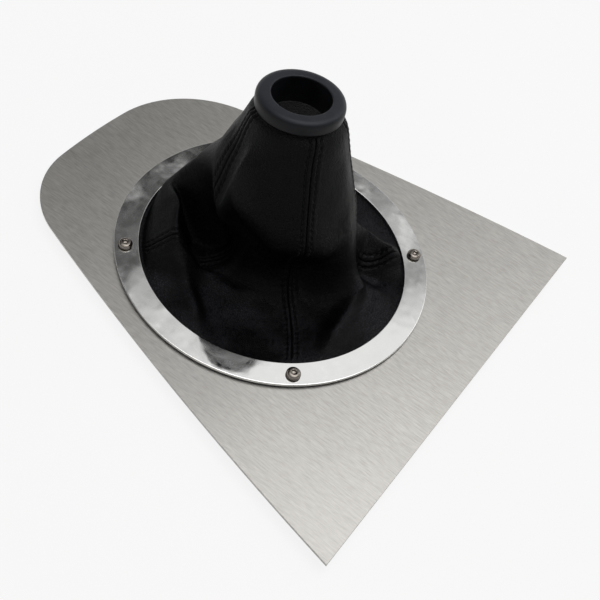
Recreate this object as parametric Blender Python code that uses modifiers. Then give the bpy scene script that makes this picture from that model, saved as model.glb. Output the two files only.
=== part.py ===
"""Gear lever surround: a sheet metal cover plate, a clamping ring, a four-panel leather
gaiter and a moulded collar for the lever.

Metres, +Z up. +Y points to the plate's narrow rounded end. The origin is at the middle of
the plate's length and width, at the height of the screw ends, which are the lowest points.
"""
import bpy
import bmesh
import numpy as np
from math import atan2, cos, pi, radians, sin, sqrt
from mathutils import Matrix, Vector

# Cover plate: length along Y, wide straight edge and narrow rounded end
PLATE_LENGTH = 0.2516
PLATE_WIDE_EDGE = 0.251
PLATE_NARROW_WIDTH = 0.147
PLATE_SIDE_LENGTH = 0.215
PLATE_SIDE_BOW = 0.0034
PLATE_END_RADIUS = 0.381
PLATE_CORNER_RADIUS_LEFT = 0.048
PLATE_CORNER_RADIUS_RIGHT = 0.062
PLATE_THICKNESS = 0.0015
WIDE_EDGE_TO_RING_CENTRE = 0.1238

# Clamping ring and the leather that it holds down; the ring stands a little left of the middle
RING_OFFSET = -0.0012
RING_OUTER_RADIUS = 0.085
RING_WIDTH = 0.0127
RING_INNER_RADIUS = RING_OUTER_RADIUS - RING_WIDTH
RING_THICKNESS = 0.0018
SCREW_INSET = 0.0058
SCREW_CIRCLE_RADIUS = RING_OUTER_RADIUS - SCREW_INSET
SCREW_TURN = radians(-1.2)
OPENING_CLEARANCE = 0.0022
FLANGE_SETBACK = 0.0006
LEATHER = 0.0012
CLAMPED_LEATHER = 0.0009
SEAM_GAP = 0.0005

# Fasteners: M4 button-head screws with washers and locking nuts
SCREW_DIAMETER = 0.004
SCREW_LENGTH = 0.012
SCREW_HEAD_DIAMETER = 0.0076
SCREW_HEAD_HEIGHT = 0.0022
SCREW_HEAD_EDGE = 0.0004
SCREW_SOCKET_FLATS = 0.0025
SCREW_SOCKET_DEPTH = 0.0013
WASHER_DIAMETER = 0.009
WASHER_THICKNESS = 0.0008
NUT_FLATS = 0.007
NUT_HEIGHT = 0.005
NUT_HEX_HEIGHT = 0.0036
NUT_CROWN_DIAMETER = 0.0062
HOLE_CLEARANCE = 0.0007

# Moulded collar: its top face's centre above the ring's centre, and its lean
COLLAR_CENTRE = (-0.0017, 0.0081, 0.1078)
COLLAR_LEAN = (0.036, 0.053)
COLLAR_RADIUS = 0.0214
COLLAR_SKIRT_HEIGHT = 0.0072
COLLAR_ROUNDING = 0.0032
COLLAR_FOOT_ROUNDING = 0.0014
COLLAR_BORE_RADIUS = 0.0143
COLLAR_BORE_ROUNDING = 0.0010
COLLAR_SKIRT_WALL = 0.0020
COLLAR_NECK_WALL = 0.0016
COLLAR_NECK_LENGTH = 0.015
COLLAR_TOP_WALL = 0.0030
COLLAR_LEATHER_CLEARANCE = 0.0005

# Gap between neighbouring pieces
GAP = 0.0003

# Facets
RING_STEPS = 96
HOLE_STEPS = 16
COLLAR_STEPS = 48
SCREW_STEPS = 16
ARC_STEPS = 6
PANEL_STEPS_ROUND = 24
PANEL_STEPS_UP = 27

# Heights, from the screw ends up
RING_UNDERSIDE = GAP + CLAMPED_LEATHER + GAP
HEAD_SEAT = RING_UNDERSIDE + RING_THICKNESS + GAP
PLATE_TOP_Z = SCREW_LENGTH - HEAD_SEAT
WASHER_TOP_Z = PLATE_TOP_Z - PLATE_THICKNESS - GAP
NUT_TOP_Z = WASHER_TOP_Z - WASHER_THICKNESS - GAP
RING_CENTRE = (RING_OFFSET, WIDE_EDGE_TO_RING_CENTRE - PLATE_LENGTH / 2)

# Screws and seams lie in line, and the leather has turned a little by the time that it
# reaches the collar
CORNERS = ("back_left", "front_left", "front_right", "back_right")
SIDES = ("left", "front", "right", "back")
SEAMS_AT_RING = [SCREW_TURN + radians(angle) for angle in (135, 225, 315, 405)]
# How far each seam wanders round the lever, in degrees, at every eighth of its length
SEAM_WANDER = ((0, 2.5, 4, 4, 4, 4.2, 5.2, 8, 9), (0, 4, 9.5, 11, 10, 8.5, 10, 14, 16),
               (0, -4, -5, -4.5, -4.5, -5.5, -8.5, -10, -10), (0, 0, 0, 0, 0, 0, 0, 0, 0))

# Leather profiles from the ring to the collar. A station is a pair of percentages: how far
# out from the collar's groove to the ring's inner edge, and how far up from the plate's top
# to the collar's skirt. Hollow is the slack front, taut the stretched left-back flank, flap
# the ridge between these two that drops into the hollow, and plain the right and the back.
PROFILE_HOLLOW = ((86, -0.8), (71, -2.5), (54.5, -4), (36, -4.5), (19, -2.5), (8, 4), (5, 13),
                  (9, 22), (19, 30), (29, 37), (32, 45), (28, 55), (21, 68), (14.5, 80), (9.5, 91))
PROFILE_FLAP = ((89, 4), (77, 10.5), (65, 15.5), (59, 9), (49, -3), (28, -4.5), (12, 2),
                (10, 18), (17, 29), (27, 38), (31.5, 46.5), (28, 55), (21, 68), (14.5, 80), (9.5, 91))
PROFILE_PLAIN = ((86, 0.2), (74, 0.4), (63, 1.8), (54, 4.5), (48, 9), (44, 15), (41.5, 22),
                 (39, 29), (36.5, 36), (33.5, 43), (30, 51), (25.5, 60), (20.5, 71), (15.5, 82), (11, 91.5))
PROFILE_TAUT = ((95, 5), (91.5, 10.5), (87, 15.5), (82.5, 20.5), (77, 26), (71, 31.5), (65, 37),
                (58.5, 42.5), (51, 48.5), (43, 54.5), (35.5, 61), (29.5, 68), (24, 75), (17, 83), (9.5, 92))
TAUT_BACK_FADE = (radians(56), radians(86))
TAUT_FRONT_FADE_LOW = (radians(99), radians(122))
TAUT_FRONT_FADE_HIGH = (radians(96), radians(160))
FLAP_FRONT_FADE = (radians(140), radians(165))
HOLLOW_FRONT_FADE = (radians(248), radians(284))
# The hollow's overhang and the flap's ridge are higher on the left than on the right: angles
# and lifts
OVERHANG_ANGLES = [radians(angle) for angle in (150, 187, 208, 235, 262, 285)]
OVERHANG_LIFTS = (0.5, 0.42, 0.14, 0.06, -0.2, -0.5)
FLAP_ANGLES = [radians(angle) for angle in (106, 114, 122, 134, 150, 165)]
FLAP_LIFTS = (0.6, 0.7, 0.55, 0.1, -0.4, -0.8)

# Folds: points of the crest as (angle in degrees, radius in hundredths of the ring's inner
# radius, height in hundredths of the collar's), the width of the crest and its height
FOLDS = {
    "left_shoulder": (((100, 98, 7), (108, 95, 14), (114, 90, 21)), 0.010, 0.002),
    "left_crest": (((184, 97, 0), (172, 82.5, 0), (160, 75, 0), (148, 73, 3), (140, 73, 8)), 0.005, 0.007),
    "front_right_crest": (((239, 94, -1), (257, 77, 0), (273, 68, 3), (286, 60.5, 8.5)), 0.006, 0.0085),
    "right_band": (((268, 91, -1), (283, 86, 0), (292, 79, 2)), 0.005, 0.003),
    "right_pocket": (((300, 84.5, 0), (301, 75, 1), (304, 68, 3.5)), 0.0065, -0.006),
    "back_right_crest": (((312, 97, 0), (316, 83, 1), (322, 72, 3.5), (334, 61, 15)), 0.006, 0.010),
    "back_crest": (((380, 95.5, 0), (374, 79, 1), (368, 65, 7.5)), 0.0065, 0.007),
    "back_left_crest": (((422, 95.5, 0), (427, 83, 4.5), (430, 72, 15)), 0.0065, 0.006),
    "hollow_crest": (((152, 58, -3.5), (178, 45.5, -3), (203, 37.5, -2)), 0.005, 0.0025),
}
FOLD_SAMPLES = 48


def clean_scene():
    """Remove every object, so that the file holds this part alone."""
    for old in list(bpy.data.objects):
        bpy.data.objects.remove(old, do_unlink=True)


def new_collection(name):
    collection = bpy.data.collections.new(name)
    bpy.context.scene.collection.children.link(collection)
    return collection


def linear(channel):
    return channel / 12.92 if channel <= 0.04045 else ((channel + 0.055) / 1.055) ** 2.4


def finish(name, srgb, metallic, roughness):
    """A Principled BSDF from an sRGB colour."""
    material = bpy.data.materials.new(name)
    material.use_nodes = True
    shader = material.node_tree.nodes["Principled BSDF"]
    shader.inputs["Base Color"].default_value = (*[linear(c) for c in srgb], 1.0)
    shader.inputs["Metallic"].default_value = metallic
    shader.inputs["Roughness"].default_value = roughness
    return material


def place(name, mesh, material, collection, location=(0.0, 0.0, 0.0)):
    """A named object from a mesh, with its own finish, at its place."""
    mesh.materials.clear()
    mesh.materials.append(material)
    mesh.shade_smooth()
    mesh.set_sharp_from_angle(angle=radians(30))
    piece = bpy.data.objects.new(name, mesh)
    piece.location = location
    collection.objects.link(piece)
    return piece


def evaluated_mesh(source, name):
    """The evaluated mesh of an object, welded; the object itself is removed."""
    bpy.context.view_layer.update()
    depsgraph = bpy.context.evaluated_depsgraph_get()
    mesh = bpy.data.meshes.new_from_object(source.evaluated_get(depsgraph))
    mesh.transform(source.matrix_world)
    mesh.name = name
    work = bmesh.new()
    work.from_mesh(mesh)
    bmesh.ops.remove_doubles(work, verts=work.verts, dist=0.00001)
    work.to_mesh(mesh)
    work.free()
    bpy.data.objects.remove(source, do_unlink=True)
    return mesh


def circle(radius, steps, centre=(0.0, 0.0)):
    angles = [2 * pi * k / steps for k in range(steps)]
    return [(centre[0] + radius * cos(a), centre[1] + radius * sin(a)) for a in angles]


def arc(centre, radius, start, end, steps):
    """Points of an arc from one angle to another, both included."""
    angles = [start + (end - start) * k / steps for k in range(steps + 1)]
    return [(centre[0] + radius * cos(a), centre[1] + radius * sin(a)) for a in angles]


def flat_mesh(name, outlines, thickness, z_bottom):
    """A flat sheet: the first outline is its edge, and the others are its holes."""
    curve = bpy.data.curves.new(name, "CURVE")
    curve.dimensions = "2D"
    curve.fill_mode = "BOTH"
    curve.extrude = thickness / 2
    for outline in outlines:
        spline = curve.splines.new("POLY")
        spline.points.add(len(outline) - 1)
        spline.points.foreach_set("co", [c for x, y in outline for c in (x, y, 0.0, 1.0)])
        spline.use_cyclic_u = True
    guide = bpy.data.objects.new(name, curve)
    guide.location.z = z_bottom + thickness / 2
    bpy.context.scene.collection.objects.link(guide)
    return evaluated_mesh(guide, name)


def turned(name, profile, steps, collection):
    """An object turned about Z from a closed profile of (radius, height) points."""
    mesh = bpy.data.meshes.new(name)
    count = len(profile)
    mesh.from_pydata([(r, 0.0, z) for r, z in profile], [(k, (k + 1) % count) for k in range(count)], [])
    piece = bpy.data.objects.new(name, mesh)
    collection.objects.link(piece)
    screw = piece.modifiers.new("turn", "SCREW")
    screw.steps = steps
    screw.render_steps = steps
    screw.use_merge_vertices = True
    screw.merge_threshold = 0.00001
    return piece


def prism(name, radius, steps, low, high, collection, place_at=(0.0, 0.0)):
    """A solid with a regular outline, standing between two heights."""
    mesh = bpy.data.meshes.new(name)
    work = bmesh.new()
    middle = Matrix.Translation((*place_at, (low + high) / 2))
    bmesh.ops.create_cone(work, cap_ends=True, segments=steps, radius1=radius, radius2=radius,
                          depth=high - low, matrix=middle)
    work.to_mesh(mesh)
    work.free()
    piece = bpy.data.objects.new(name, mesh)
    collection.objects.link(piece)
    return piece


def as_cutter(piece):
    piece.hide_render = True
    piece.display_type = "WIRE"
    return piece


def combine(piece, other, operation):
    step = piece.modifiers.new(operation.lower(), "BOOLEAN")
    step.operation = operation
    step.object = other


def screw_centres():
    """The middle of each screw, in line with the seams."""
    return [(RING_CENTRE[0] + SCREW_CIRCLE_RADIUS * cos(a), RING_CENTRE[1] + SCREW_CIRCLE_RADIUS * sin(a))
            for a in SEAMS_AT_RING]


def hole_radius():
    return (SCREW_DIAMETER + HOLE_CLEARANCE) / 2


def screw_holes():
    return [circle(hole_radius(), HOLE_STEPS, centre) for centre in screw_centres()]


def plate_half(corner_radius):
    """The plate's right half, from its wide corner to the middle of its narrow end.

    A shallow side arc and a shallow end arc, joined by a corner arc that touches both. The
    corner arc's centre is where the two arcs, moved inwards by its radius, cross.
    """
    foot = Vector((PLATE_WIDE_EDGE / 2, -PLATE_LENGTH / 2))
    head = Vector((PLATE_NARROW_WIDTH / 2, PLATE_SIDE_LENGTH - PLATE_LENGTH / 2))
    chord = head - foot
    side_radius = (chord.length / 2) ** 2 / (2 * PLATE_SIDE_BOW) + PLATE_SIDE_BOW / 2
    inwards = Vector((-chord.y, chord.x)).normalized()
    side_centre = (foot + head) / 2 + inwards * (side_radius - PLATE_SIDE_BOW)
    end_centre = Vector((0.0, PLATE_LENGTH / 2 - PLATE_END_RADIUS))
    side_reach = side_radius - corner_radius
    end_reach = PLATE_END_RADIUS - corner_radius
    apart = end_centre - side_centre
    along = (side_reach ** 2 - end_reach ** 2 + apart.length ** 2) / (2 * apart.length)
    aside = sqrt(side_reach ** 2 - along ** 2)
    direction = apart.normalized()
    across = Vector((-direction.y, direction.x))
    crossings = [side_centre + direction * along + across * aside * way for way in (1, -1)]
    corner = max(crossings, key=lambda point: point.y)
    side_start = atan2(foot.y - side_centre.y, foot.x - side_centre.x)
    side_end = atan2(corner.y - side_centre.y, corner.x - side_centre.x)
    end_start = atan2(corner.y - end_centre.y, corner.x - end_centre.x)
    points = arc(side_centre, side_radius, side_start, side_end, ARC_STEPS)
    points += arc(corner, corner_radius, side_end, end_start, 2 * ARC_STEPS)[1:]
    points += arc(end_centre, PLATE_END_RADIUS, end_start, pi / 2, ARC_STEPS)[1:]
    return points


def cover_plate(material, collection):
    right = plate_half(PLATE_CORNER_RADIUS_RIGHT)
    left = [(-x, y) for x, y in reversed(plate_half(PLATE_CORNER_RADIUS_LEFT)[:-1])]
    opening = circle(RING_INNER_RADIUS + OPENING_CLEARANCE, RING_STEPS, RING_CENTRE)
    mesh = flat_mesh("cover_plate", [right + left, opening, *screw_holes()],
                     PLATE_THICKNESS, PLATE_TOP_Z - PLATE_THICKNESS)
    place("cover_plate", mesh, material, collection)


def retaining_ring(material, collection):
    outlines = [circle(RING_OUTER_RADIUS, RING_STEPS, RING_CENTRE),
                circle(RING_INNER_RADIUS, RING_STEPS, RING_CENTRE), *screw_holes()]
    mesh = flat_mesh("retaining_ring", outlines, RING_THICKNESS, PLATE_TOP_Z + RING_UNDERSIDE)
    place("retaining_ring", mesh, material, collection)


def groove_leather_radius():
    """The leather's outer skin inside the collar's groove."""
    return COLLAR_RADIUS - COLLAR_SKIRT_WALL - COLLAR_LEATHER_CLEARANCE


def full_profile(stations):
    """Radius and height of every station, with the clamped foot and the top in the groove."""
    groove = groove_leather_radius()
    skirt_z = COLLAR_CENTRE[2] - COLLAR_SKIRT_HEIGHT
    top_z = COLLAR_CENTRE[2] - COLLAR_TOP_WALL - COLLAR_LEATHER_CLEARANCE
    foot = [(RING_INNER_RADIUS - 1.5 * LEATHER, 0.7 * CLAMPED_LEATHER)]
    body = [(groove + (RING_INNER_RADIUS - groove) * out / 100, skirt_z * up / 100)
            for out, up in stations]
    head = [(groove + 3 * LEATHER, skirt_z - 3.4 * LEATHER), (groove + LEATHER, skirt_z - 1.2 * LEATHER),
            (groove, skirt_z + 0.3 * LEATHER), (groove, top_z)]
    return np.array(foot + body + head)


def through(points, position):
    """Catmull-Rom curve through an array of points; position counts from the first point."""
    points = np.vstack([2 * points[0] - points[1], points, 2 * points[-1] - points[-2]])
    first = np.clip(position.astype(int), 0, len(points) - 4)
    t = (position - first)[..., None]
    a, b, c, d = (points[first + k] for k in range(4))
    return 0.5 * (2 * b + (c - a) * t + (2 * a - 5 * b + 4 * c - d) * t ** 2
                  + (3 * b - a - 3 * c + d) * t ** 3)


def along_profile(stations, share):
    """Radius and height at a share of the way from the ring to the collar."""
    points = full_profile(stations)
    return through(points, np.clip(share, 0.0, 1.0) * (len(points) - 1))


def ease(low, high, value):
    """0 below low, 1 above high, and a smooth step between."""
    t = np.clip((value - low) / (high - low), 0.0, 1.0)
    return t * t * (3 - 2 * t)


def lifted(profile, angle, angles, lifts):
    """A profile with its lower half raised by the lift that belongs to each angle."""
    lift = np.interp(angle, angles, lifts)
    reach = COLLAR_CENTRE[2] - 2 * COLLAR_SKIRT_HEIGHT
    rise = np.clip(profile[..., 1] / reach, 0.0, 1.0)
    factor = 1 + lift * 6.75 * rise * (1 - rise) ** 2
    return np.stack([profile[..., 0], profile[..., 1] * factor], axis=-1)


def section(angle, share):
    """Radius and height of the leather's outer skin, a blend of the four profiles."""
    turn = np.mod(angle, 2 * pi)
    upper = ease(0.36, 0.56, share)
    start, end = (low + (high - low) * upper
                  for low, high in zip(TAUT_FRONT_FADE_LOW, TAUT_FRONT_FADE_HIGH))
    slack = ease(start, end, turn)
    taut = ease(*TAUT_BACK_FADE, turn) * (1 - slack)
    flap = slack * (1 - ease(*FLAP_FRONT_FADE, turn))
    hollow = (slack - flap) * (1 - ease(*HOLLOW_FRONT_FADE, turn))
    plain = 1 - taut - flap - hollow
    overhang = lifted(along_profile(PROFILE_HOLLOW, share), turn, OVERHANG_ANGLES, OVERHANG_LIFTS)
    ridge = lifted(along_profile(PROFILE_FLAP, share), turn, FLAP_ANGLES, FLAP_LIFTS)
    return (taut[..., None] * along_profile(PROFILE_TAUT, share) + flap[..., None] * ridge
            + hollow[..., None] * overhang + plain[..., None] * along_profile(PROFILE_PLAIN, share))


def polar(angle, radius, height):
    return np.stack([radius * np.cos(angle), radius * np.sin(angle), height], axis=-1)


def fold_lift(points, crest, width, height):
    """How far a fold lifts each point: the highest of the bells along the fold's crest."""
    crest = np.array(crest, dtype=float)
    radius = crest[:, 1] / 100 * RING_INNER_RADIUS
    rise = crest[:, 2] / 100 * COLLAR_CENTRE[2]
    along = np.linspace(0.0, 1.0, FOLD_SAMPLES)
    line = through(polar(np.radians(crest[:, 0]), radius, rise), along * (len(crest) - 1))
    taper = ease(-0.1, 0.25, along) * (1 - ease(0.75, 1.1, along))
    away = np.linalg.norm(points[..., None, :] - line, axis=-1)
    return height * (taper * np.exp(-0.5 * (away / width) ** 2)).max(axis=-1)


def spine(height):
    """The gaiter's middle line, which ends along the collar's axis, and its share of lean."""
    rise = COLLAR_CENTRE[2]
    share = np.clip(height / rise, 0.0, 1.0)
    pull = 3 * share ** 2 - 2 * share ** 3
    swing = (share ** 3 - share ** 2) * rise
    x = COLLAR_CENTRE[0] * pull + COLLAR_LEAN[0] * swing
    y = COLLAR_CENTRE[1] * pull + COLLAR_LEAN[1] * swing
    return x, y, ease(0.4, 0.9, share)


def skin(angle, share):
    """Points of the leather's outer skin, from the ring's centre on the plate's top."""
    step = 0.001
    here = section(angle, share)
    run = section(angle, np.minimum(share + step, 1.0)) - section(angle, np.maximum(share - step, 0.0))
    run /= np.linalg.norm(run, axis=-1, keepdims=True)
    points = polar(angle, here[..., 0], here[..., 1])
    lift = sum(fold_lift(points, *fold) for fold in FOLDS.values())
    radius = here[..., 0] + lift * run[..., 1]
    height = here[..., 1] - lift * run[..., 0]
    x, y, lean = spine(height)
    east = radius * np.cos(angle)
    north = radius * np.sin(angle)
    dip = lean * (COLLAR_LEAN[0] * east + COLLAR_LEAN[1] * north)
    return np.stack([x + east, y + north, height - dip], axis=-1)


def seam_angle(number, share):
    """The angle of a seam at a share of its length; the fifth is the first, a turn on."""
    lap, seam = divmod(number, 4)
    stations = np.array(SEAM_WANDER[seam], dtype=float)[:, None]
    wander = through(stations, share * (len(stations) - 1))[..., 0]
    return SEAMS_AT_RING[seam] + np.radians(wander) + 2 * pi * lap


def panel_skins(number):
    """Outer and inner grids of one panel, from its clamped edge to its top."""
    share = np.linspace(0.0, 1.0, PANEL_STEPS_UP + 1)[:, None]
    across = np.linspace(0.0, 1.0, PANEL_STEPS_ROUND + 1)[None, :]
    first = seam_angle(number, share)
    last = seam_angle(number + 1, share)
    first = first + SEAM_GAP / 2 / section(first, share)[..., 0]
    last = last - SEAM_GAP / 2 / section(last, share)[..., 0]
    angle = first + (last - first) * across
    share = np.broadcast_to(share, angle.shape)
    outer = skin(angle, share)
    step = 0.001
    up = skin(angle, np.minimum(share + step, 1.0)) - skin(angle, np.maximum(share - step, 0.0))
    sideways = skin(angle + step, share) - skin(angle - step, share)
    normal = np.cross(sideways, up)
    normal /= np.linalg.norm(normal, axis=-1, keepdims=True)
    inner = outer - normal * LEATHER
    radius = np.linspace(RING_OUTER_RADIUS - FLANGE_SETBACK, RING_INNER_RADIUS, 4)[:, None]
    east = radius * np.cos(angle[:1])
    north = radius * np.sin(angle[:1])
    clamped = np.stack([east, north, np.full_like(east, GAP + CLAMPED_LEATHER)], axis=-1)
    beneath = np.stack([east, north, np.full_like(east, GAP)], axis=-1)
    return np.vstack([clamped, outer]), np.vstack([beneath, inner])


def loft(name, outer, inner):
    """A closed panel between two grids of points: two skins and the walls round their edge."""
    rows, columns = outer.shape[:2]
    origin = np.array([*RING_CENTRE, PLATE_TOP_Z])
    points = np.concatenate([outer.reshape(-1, 3), inner.reshape(-1, 3)]) + origin
    number = np.arange(rows * columns).reshape(rows, columns)
    quads = np.stack([number[:-1, :-1], number[:-1, 1:], number[1:, 1:], number[1:, :-1]], axis=-1)
    quads = quads.reshape(-1, 4)
    rim = np.concatenate([number[0, :-1], number[:-1, -1], number[-1, :0:-1], number[:0:-1, 0]])
    following = np.roll(rim, -1)
    far = rows * columns
    walls = np.stack([rim, rim + far, following + far, following], axis=-1)
    faces = np.concatenate([quads, quads[:, ::-1] + far, walls])
    mesh = bpy.data.meshes.new(name)
    mesh.from_pydata(points.tolist(), [], faces.tolist())
    mesh.update()
    return mesh


def gaiter(material, collection, cutters):
    """The four sewn panels, each cut away round the screws at its two corners."""
    reach = (PLATE_TOP_Z - PLATE_THICKNESS, PLATE_TOP_Z + RING_UNDERSIDE)
    holes = [as_cutter(prism("flange_hole", hole_radius(), HOLE_STEPS, *reach, cutters, centre))
             for centre in screw_centres()]
    for number, side in enumerate(SIDES):
        name = "gaiter_panel_" + side
        panel = place(name, loft(name, *panel_skins(number)), material, collection)
        combine(panel, holes[number], "DIFFERENCE")
        combine(panel, holes[(number + 1) % 4], "DIFFERENCE")


def collar(material, collection):
    """A ring with a rounded skirt outside, a neck inside and a groove between them."""
    groove_inner = COLLAR_BORE_RADIUS + COLLAR_NECK_WALL
    groove_outer = COLLAR_RADIUS - COLLAR_SKIRT_WALL
    shoulder = arc((COLLAR_RADIUS - COLLAR_ROUNDING, -COLLAR_ROUNDING), COLLAR_ROUNDING, pi / 2, 0.0, 4)
    lip = arc((COLLAR_BORE_RADIUS + COLLAR_BORE_ROUNDING, -COLLAR_BORE_ROUNDING),
              COLLAR_BORE_ROUNDING, pi, pi / 2, 2)
    foot = arc((COLLAR_RADIUS - COLLAR_FOOT_ROUNDING, COLLAR_FOOT_ROUNDING - COLLAR_SKIRT_HEIGHT),
               COLLAR_FOOT_ROUNDING, 0.0, -pi / 2, 2)
    profile = shoulder + foot + [(groove_outer, -COLLAR_SKIRT_HEIGHT),
                                 (groove_outer, -COLLAR_TOP_WALL), (groove_inner, -COLLAR_TOP_WALL),
                                 (groove_inner, -COLLAR_NECK_LENGTH),
                                 (COLLAR_BORE_RADIUS, -COLLAR_NECK_LENGTH)] + lip
    mesh = evaluated_mesh(turned("collar", profile, COLLAR_STEPS, collection), "collar")
    centre = Vector(COLLAR_CENTRE) + Vector((*RING_CENTRE, PLATE_TOP_Z))
    piece = place("collar", mesh, material, collection, centre)
    axis = Vector((*COLLAR_LEAN, 1.0)).normalized()
    piece.rotation_mode = "QUATERNION"
    piece.rotation_quaternion = Vector((0.0, 0.0, 1.0)).rotation_difference(axis)


def screw_mesh(cutters):
    """A button head with a hexagon socket on a plain shank, with its seat at height 0."""
    head = SCREW_HEAD_DIAMETER / 2
    shank = SCREW_DIAMETER / 2
    dome_height = SCREW_HEAD_HEIGHT - SCREW_HEAD_EDGE
    crown = SCREW_SOCKET_FLATS / sqrt(3) + SCREW_HEAD_EDGE
    dome = [(crown + (head - crown) * sin(a), SCREW_HEAD_EDGE + dome_height * cos(a))
            for a in (0.0, pi / 6, pi / 3, pi / 2)]
    profile = [(0.0, SCREW_HEAD_HEIGHT)] + dome + [(head, 0.0), (shank, 0.0),
                                                  (shank, -SCREW_LENGTH), (0.0, -SCREW_LENGTH)]
    body = turned("screw_blank", profile, SCREW_STEPS, cutters)
    socket = as_cutter(prism("socket", SCREW_SOCKET_FLATS / sqrt(3), 6,
                             SCREW_HEAD_HEIGHT - SCREW_SOCKET_DEPTH, 2 * SCREW_HEAD_HEIGHT, cutters))
    combine(body, socket, "DIFFERENCE")
    return evaluated_mesh(body, "button_head_screw")


def nut_mesh(cutters):
    """A hexagon nut with a round crown below it, with its upper face at height 0."""
    body = prism("nut_blank", NUT_FLATS / sqrt(3), 6, -NUT_HEX_HEIGHT, 0.0, cutters)
    crown = as_cutter(prism("nut_crown", NUT_CROWN_DIAMETER / 2, SCREW_STEPS, -NUT_HEIGHT,
                            -NUT_HEX_HEIGHT / 2, cutters))
    bore = as_cutter(prism("nut_bore", SCREW_DIAMETER / 2 + GAP, HOLE_STEPS, -2 * NUT_HEIGHT,
                           NUT_HEIGHT, cutters))
    combine(body, crown, "UNION")
    combine(body, bore, "DIFFERENCE")
    return evaluated_mesh(body, "locking_nut")


def fasteners(screw_finish, zinc_finish, collection, cutters):
    """A screw, a washer and a nut at each corner of the ring."""
    screw = screw_mesh(cutters)
    nut = nut_mesh(cutters)
    washer_outlines = [circle(WASHER_DIAMETER / 2, SCREW_STEPS), circle(hole_radius(), HOLE_STEPS)]
    washer = flat_mesh("washer", washer_outlines, WASHER_THICKNESS, -WASHER_THICKNESS)
    for corner, (x, y) in zip(CORNERS, screw_centres()):
        place("screw_" + corner, screw, screw_finish, collection, (x, y, PLATE_TOP_Z + HEAD_SEAT))
        place("washer_" + corner, washer, zinc_finish, collection, (x, y, WASHER_TOP_Z))
        place("nut_" + corner, nut, zinc_finish, collection, (x, y, NUT_TOP_Z))


def main():
    clean_scene()
    parts = new_collection("gear_lever_surround")
    cutters = new_collection("cutters")
    cover_plate(finish("brushed_plate", (0.66, 0.65, 0.62), 1.0, 0.42), parts)
    retaining_ring(finish("polished_ring", (0.80, 0.80, 0.79), 1.0, 0.10), parts)
    gaiter(finish("black_leather", (0.09, 0.09, 0.10), 0.0, 0.55), parts, cutters)
    collar(finish("moulded_collar", (0.13, 0.135, 0.145), 0.0, 0.55), parts)
    fasteners(finish("stainless_screws", (0.62, 0.62, 0.62), 1.0, 0.25),
              finish("zinc_fixings", (0.70, 0.71, 0.72), 1.0, 0.38), parts, cutters)


main()
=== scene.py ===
"""Looks of a gear lever surround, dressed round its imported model.

A brushed steel cover plate, a polished clamping ring with button-head screws, a sewn leather
gaiter in the folds that it lies in, and a moulded collar for the lever. Metres, +Z up.
"""

from math import atan2, cos, pi, radians, sin, sqrt

import bmesh
import bpy
import numpy as np
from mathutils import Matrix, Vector


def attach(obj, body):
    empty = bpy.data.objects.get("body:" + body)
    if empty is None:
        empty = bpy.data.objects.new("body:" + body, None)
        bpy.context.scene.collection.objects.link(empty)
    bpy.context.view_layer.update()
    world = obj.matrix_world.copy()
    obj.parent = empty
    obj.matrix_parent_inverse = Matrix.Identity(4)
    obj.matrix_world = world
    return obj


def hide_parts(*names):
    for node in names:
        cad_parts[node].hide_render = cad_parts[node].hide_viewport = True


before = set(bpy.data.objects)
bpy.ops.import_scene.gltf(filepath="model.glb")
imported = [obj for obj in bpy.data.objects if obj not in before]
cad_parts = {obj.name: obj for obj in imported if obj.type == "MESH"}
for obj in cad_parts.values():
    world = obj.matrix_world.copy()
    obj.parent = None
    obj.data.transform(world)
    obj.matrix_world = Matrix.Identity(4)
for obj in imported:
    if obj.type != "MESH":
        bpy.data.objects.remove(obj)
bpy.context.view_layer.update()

# Sizes that the solids have
PLATE_LENGTH = 0.2516
PLATE_WIDE_EDGE = 0.251
PLATE_NARROW_WIDTH = 0.147
PLATE_SIDE_LENGTH = 0.215
PLATE_SIDE_BOW = 0.0034
PLATE_END_RADIUS = 0.381
PLATE_CORNER_RADIUS_LEFT = 0.048
PLATE_CORNER_RADIUS_RIGHT = 0.062
PLATE_THICKNESS = 0.0015
PLATE_TOP_Z = 0.0084
RING_CENTRE = (-0.0012, -0.0020)
RING_OUTER_RADIUS = 0.085
RING_INNER_RADIUS = 0.0723
RING_UNDERSIDE_Z = 0.0099
RING_THICKNESS = 0.0018
SCREW_CIRCLE_RADIUS = 0.0792
SCREW_TURN = radians(-1.2)
OPENING_RADIUS = 0.0745
FLANGE_SETBACK = 0.0006
LEATHER = 0.0012
CLAMPED_LEATHER = 0.0009
SCREW_DIAMETER = 0.004
SCREW_LENGTH = 0.012
SCREW_PITCH = 0.0007
SCREW_HEAD_DIAMETER = 0.0076
SCREW_HEAD_HEIGHT = 0.0022
SCREW_SOCKET_FLATS = 0.0025
SCREW_SOCKET_DEPTH = 0.0013
HEAD_SEAT_Z = 0.0120
WASHER_TOP_Z = 0.0066
WASHER_DIAMETER = 0.009
WASHER_THICKNESS = 0.0008
NUT_TOP_Z = 0.0055
NUT_FLATS = 0.007
NUT_HEIGHT = 0.005
NUT_HEX_HEIGHT = 0.0036
NUT_CROWN_DIAMETER = 0.0062
HOLE_DIAMETER = 0.0047
COLLAR_CENTRE = (-0.0017, 0.0081, 0.1078)
COLLAR_LEAN = (0.036, 0.053)
COLLAR_RADIUS = 0.0214
COLLAR_SKIRT_HEIGHT = 0.0072
COLLAR_BORE_RADIUS = 0.0143
COLLAR_SKIRT_WALL = 0.0020
COLLAR_NECK_WALL = 0.0016
COLLAR_NECK_LENGTH = 0.015
COLLAR_TOP_WALL = 0.0030
COLLAR_LEATHER_CLEARANCE = 0.0005
GAP = 0.0003

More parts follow.
